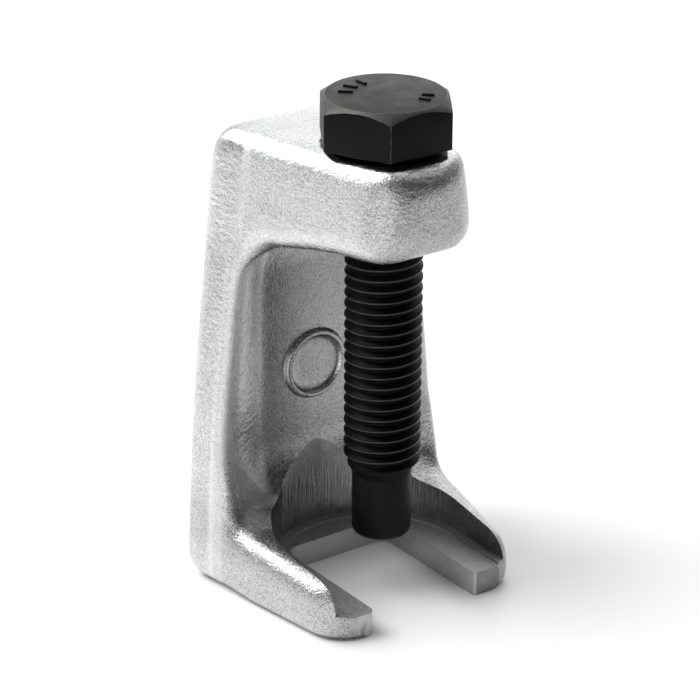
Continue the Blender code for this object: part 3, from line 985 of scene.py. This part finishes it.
def zinc_relief(n, masks, grain, crystals, pits):
    """The plate's fine grain and pits over the forging's small lumps, which are flatter in the dish."""
    lump_noise = n.noise(LUMP, 2, 0.5, n.scaled((1, 1, 2)))
    lump_strength = n.spread(masks["dish"], 0, 1, 1, 0.3)
    lumps = n.bump(lump_noise, RELIEF_DEPTH, lump_strength, under=n.soft_edges(0.18 * MM))
    height = n.math("SUBTRACT", grain, n.math("MULTIPLY", crystals, 0.25))
    height = n.math("SUBTRACT", height, n.math("MULTIPLY", pits, 0.4))
    strength = n.math("ADD", n.spread(masks["calm"], 0, 1, 1, 0.15), n.math("MULTIPLY", masks["flange"], 0.5))
    return n.bump(height, RELIEF_DEPTH, strength, under=lumps)


def zinc_skin():
    """Bright zinc plate over a grit-blasted forging, calmer on the arm's top and along the back."""
    n = Nodes("zinc_forging")
    n.set(Metallic=1.0)
    masks = zinc_masks(n)
    grain = n.noise(ZINC_GRAIN, 3, 0.7)
    crystals = n.cells(ZINC_CRYSTAL)
    pits = n.spread(n.cells(PIT_SPACING), 0.0, 0.09, 1, 0)
    n.wire(zinc_colour(n, masks, grain, crystals, pits), n.shader.inputs["Base Color"])
    n.wire(zinc_roughness(n, masks), n.shader.inputs["Roughness"])
    return n.finish(zinc_relief(n, masks, grain, crystals, pits))


def zinc_cut(name, low, high, roughness):
    """The same plate over a cut surface, with rings about the pocket's centre and upright tool marks."""
    n = Nodes(name)
    n.set(Metallic=1.0)
    colour = n.tint(n.noise(1.6 * MM, 3), (low, low, low * 1.03), (high, high, high * 1.03))
    n.wire(colour, n.shader.inputs["Base Color"])
    n.wire(n.spread(n.noise(0.9 * MM, 3), 0.3, 0.7, roughness, roughness + 0.1), n.shader.inputs["Roughness"])
    wander = n.math("MULTIPLY", n.noise(6 * MM), CUTTER_WANDER)
    rings = n.noise(CUTTER_MARK, 3, 0.6, n.combined(n.from_centre((0, AXIS.y + POCKET_CENTRE_Y)), wander))
    upright = n.math("MULTIPLY", n.noise(CUTTER_MARK, 2, 0.6, n.scaled((1, 1, 0.04))), 1.6)
    grain = n.math("MULTIPLY", n.noise(CUTTER_MARK, 2), 0.5)
    height = n.math("ADD", n.math("ADD", rings, upright), grain)
    return n.finish(n.bump(height, CUT_DEPTH, under=n.soft_edges(0.15 * MM)))


def black_oxide(name, base, roughness, wear=0.0):
    """Black oxide on turned steel; wear lets some warm grey through."""
    n = Nodes(name)
    n.set(Metallic=0.85, Specular_IOR_Level=0.3)
    smudge = n.noise(3 * MM, 4, 0.6)
    colour = n.tint(smudge, (base * 0.8, base * 0.8, base * 0.83), (base * 1.35, base * 1.28, base * 1.2))
    if wear:
        rubbed = n.spread(n.noise(0.9 * MM, 3), 0.42, 0.62, 0, wear)
        colour = n.tint(rubbed, colour, (0.42, 0.34, 0.28))
    n.wire(colour, n.shader.inputs["Base Color"])
    n.wire(n.spread(smudge, 0.3, 0.7, roughness - 0.06, roughness + 0.08), n.shader.inputs["Roughness"])
    height = n.math("ADD", n.noise(0.18 * MM, 2, 0.6), n.noise(1.1 * MM, 2))
    return n.finish(n.bump(height, OXIDE_DEPTH))


# ---------------------------------------------------------------- stage, light and camera
def make_stage():
    """A wide white floor, a little glossy."""
    def build(shape):
        bmesh.ops.create_grid(shape, x_segments=1, y_segments=1, size=FLOOR_HALF_SIZE)

    floor = mesh_object("floor", build)
    n = Nodes("white_acrylic")
    n.set(Base_Color=(0.9, 0.9, 0.9, 1))
    n.wire(n.spread(n.noise(0.2, 1), 0, 1, 0.32, 0.38), n.shader.inputs["Roughness"])
    set_materials(floor, n.material)


def area_light(name, spot, target, size, power):
    data = bpy.data.lights.new(name, "AREA")
    data.shape = "RECTANGLE"
    data.size, data.size_y = size
    data.energy = power
    lamp = link(name, data)
    lamp.location = spot
    lamp.rotation_euler = (target - spot).to_track_quat("-Z", "Y").to_euler()


def make_tent():
    """A white tent, bright above and behind the tool and dark in front of it."""
    world = bpy.data.worlds.new("studio")
    bpy.context.scene.world = world
    world.use_nodes = True
    tree = world.node_tree
    towards = tree.nodes.new("ShaderNodeVectorMath")
    towards.operation = "DOT_PRODUCT"
    towards.inputs[1].default_value = Vector(TENT_DIRECTION).normalized()
    tree.links.new(tree.nodes.new("ShaderNodeTexCoord").outputs["Generated"], towards.inputs[0])
    level = tree.nodes.new("ShaderNodeMapRange")
    level.interpolation_type = "SMOOTHSTEP"
    level.inputs["From Min"].default_value = TENT_DARK_EDGE
    level.inputs["From Max"].default_value = TENT_BRIGHT_EDGE
    level.inputs["To Min"].default_value = TENT_DARK
    level.inputs["To Max"].default_value = TENT_BRIGHT
    tree.links.new(towards.outputs["Value"], level.inputs["Value"])
    background = tree.nodes["Background"]
    background.inputs["Color"].default_value = (1, 1, 1, 1)
    tree.links.new(level.outputs["Result"], background.inputs["Strength"])


def make_light():
    """The tent, a key lamp high behind on the left, and a weak fill lamp low in front on the left."""
    make_tent()
    middle = AXIS + Vector((0, 0, ARM_TOP / 2))
    for name, (offset, size, power) in LAMPS.items():
        area_light(name, middle + Vector(offset), middle, size, power)
    bpy.context.scene.view_settings.view_transform = "Standard"


def make_camera():
    data = bpy.data.cameras.new("camera")
    data.sensor_width = 36
    data.lens = CAMERA_LENS
    data.clip_start = 0.01
    data.clip_end = 20
    camera = link("camera", data)
    ahead, aside = math.cos(CAMERA_AZIMUTH), math.sin(CAMERA_AZIMUTH)
    level, rise = math.cos(CAMERA_ELEVATION), math.sin(CAMERA_ELEVATION)
    back = Vector((aside * level, -ahead * level, rise))
    right = Vector((ahead, aside, 0))
    turn = Matrix((right, back.cross(right), back)).transposed().to_4x4()
    turn = turn @ Matrix.Rotation(CAMERA_ROLL, 4, "Z")
    camera.matrix_world = Matrix.Translation(CAMERA_TARGET + CAMERA_DISTANCE * back) @ turn
    bpy.context.scene.camera = camera


# ---------------------------------------------------------------- putting it together
def place(piece, body, slot, *nodes):
    """Moves a finished piece onto the screw's axis, ties it to its body and hides the nodes it stands for."""
    piece.data.transform(Matrix.Translation(AXIS))
    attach(piece, body)
    if nodes:
        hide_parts(*nodes)


def place_frame():
    walls = zinc_cut("zinc_machined", 0.22, 0.34, 0.26)
    floors = zinc_cut("zinc_milled_floor", 0.38, 0.5, 0.42)
    sawn = zinc_cut("zinc_sawn", 0.42, 0.56, 0.3)
    place(make_forging(zinc_skin(), walls, floors, sawn), "frame", "zinc_forging", "frame")


def place_screw():
    oxide = black_oxide("black_oxide", 0.009, 0.48)
    top = black_oxide("black_oxide_top", 0.015, 0.46)
    flank = black_oxide("black_oxide_thread", 0.005, 0.5)
    # lighter thread crests: rubbed oxide and a painted highlight
    crest = black_oxide("black_oxide_crest_rubbed_highlight", 0.04, 0.36)
    chamfered = black_oxide("black_oxide_chamfer", 0.045, 0.42)
    worn = black_oxide("black_oxide_worn", 0.08, 0.38, wear=0.6)
    place(make_shank(flank, crest), "screw", "black_screw", "forcing_screw")
    place(make_head(oxide, worn, top, chamfered), "screw", "black_screw")
    place(make_washer_face(oxide), "screw", "black_screw")
    place(make_marks(top), "screw", "black_screw")
    place(make_dog_point(oxide), "tip", "black_tip", "pressure_tip")


make_camera()
make_light()
make_stage()
place_frame()
place_screw()
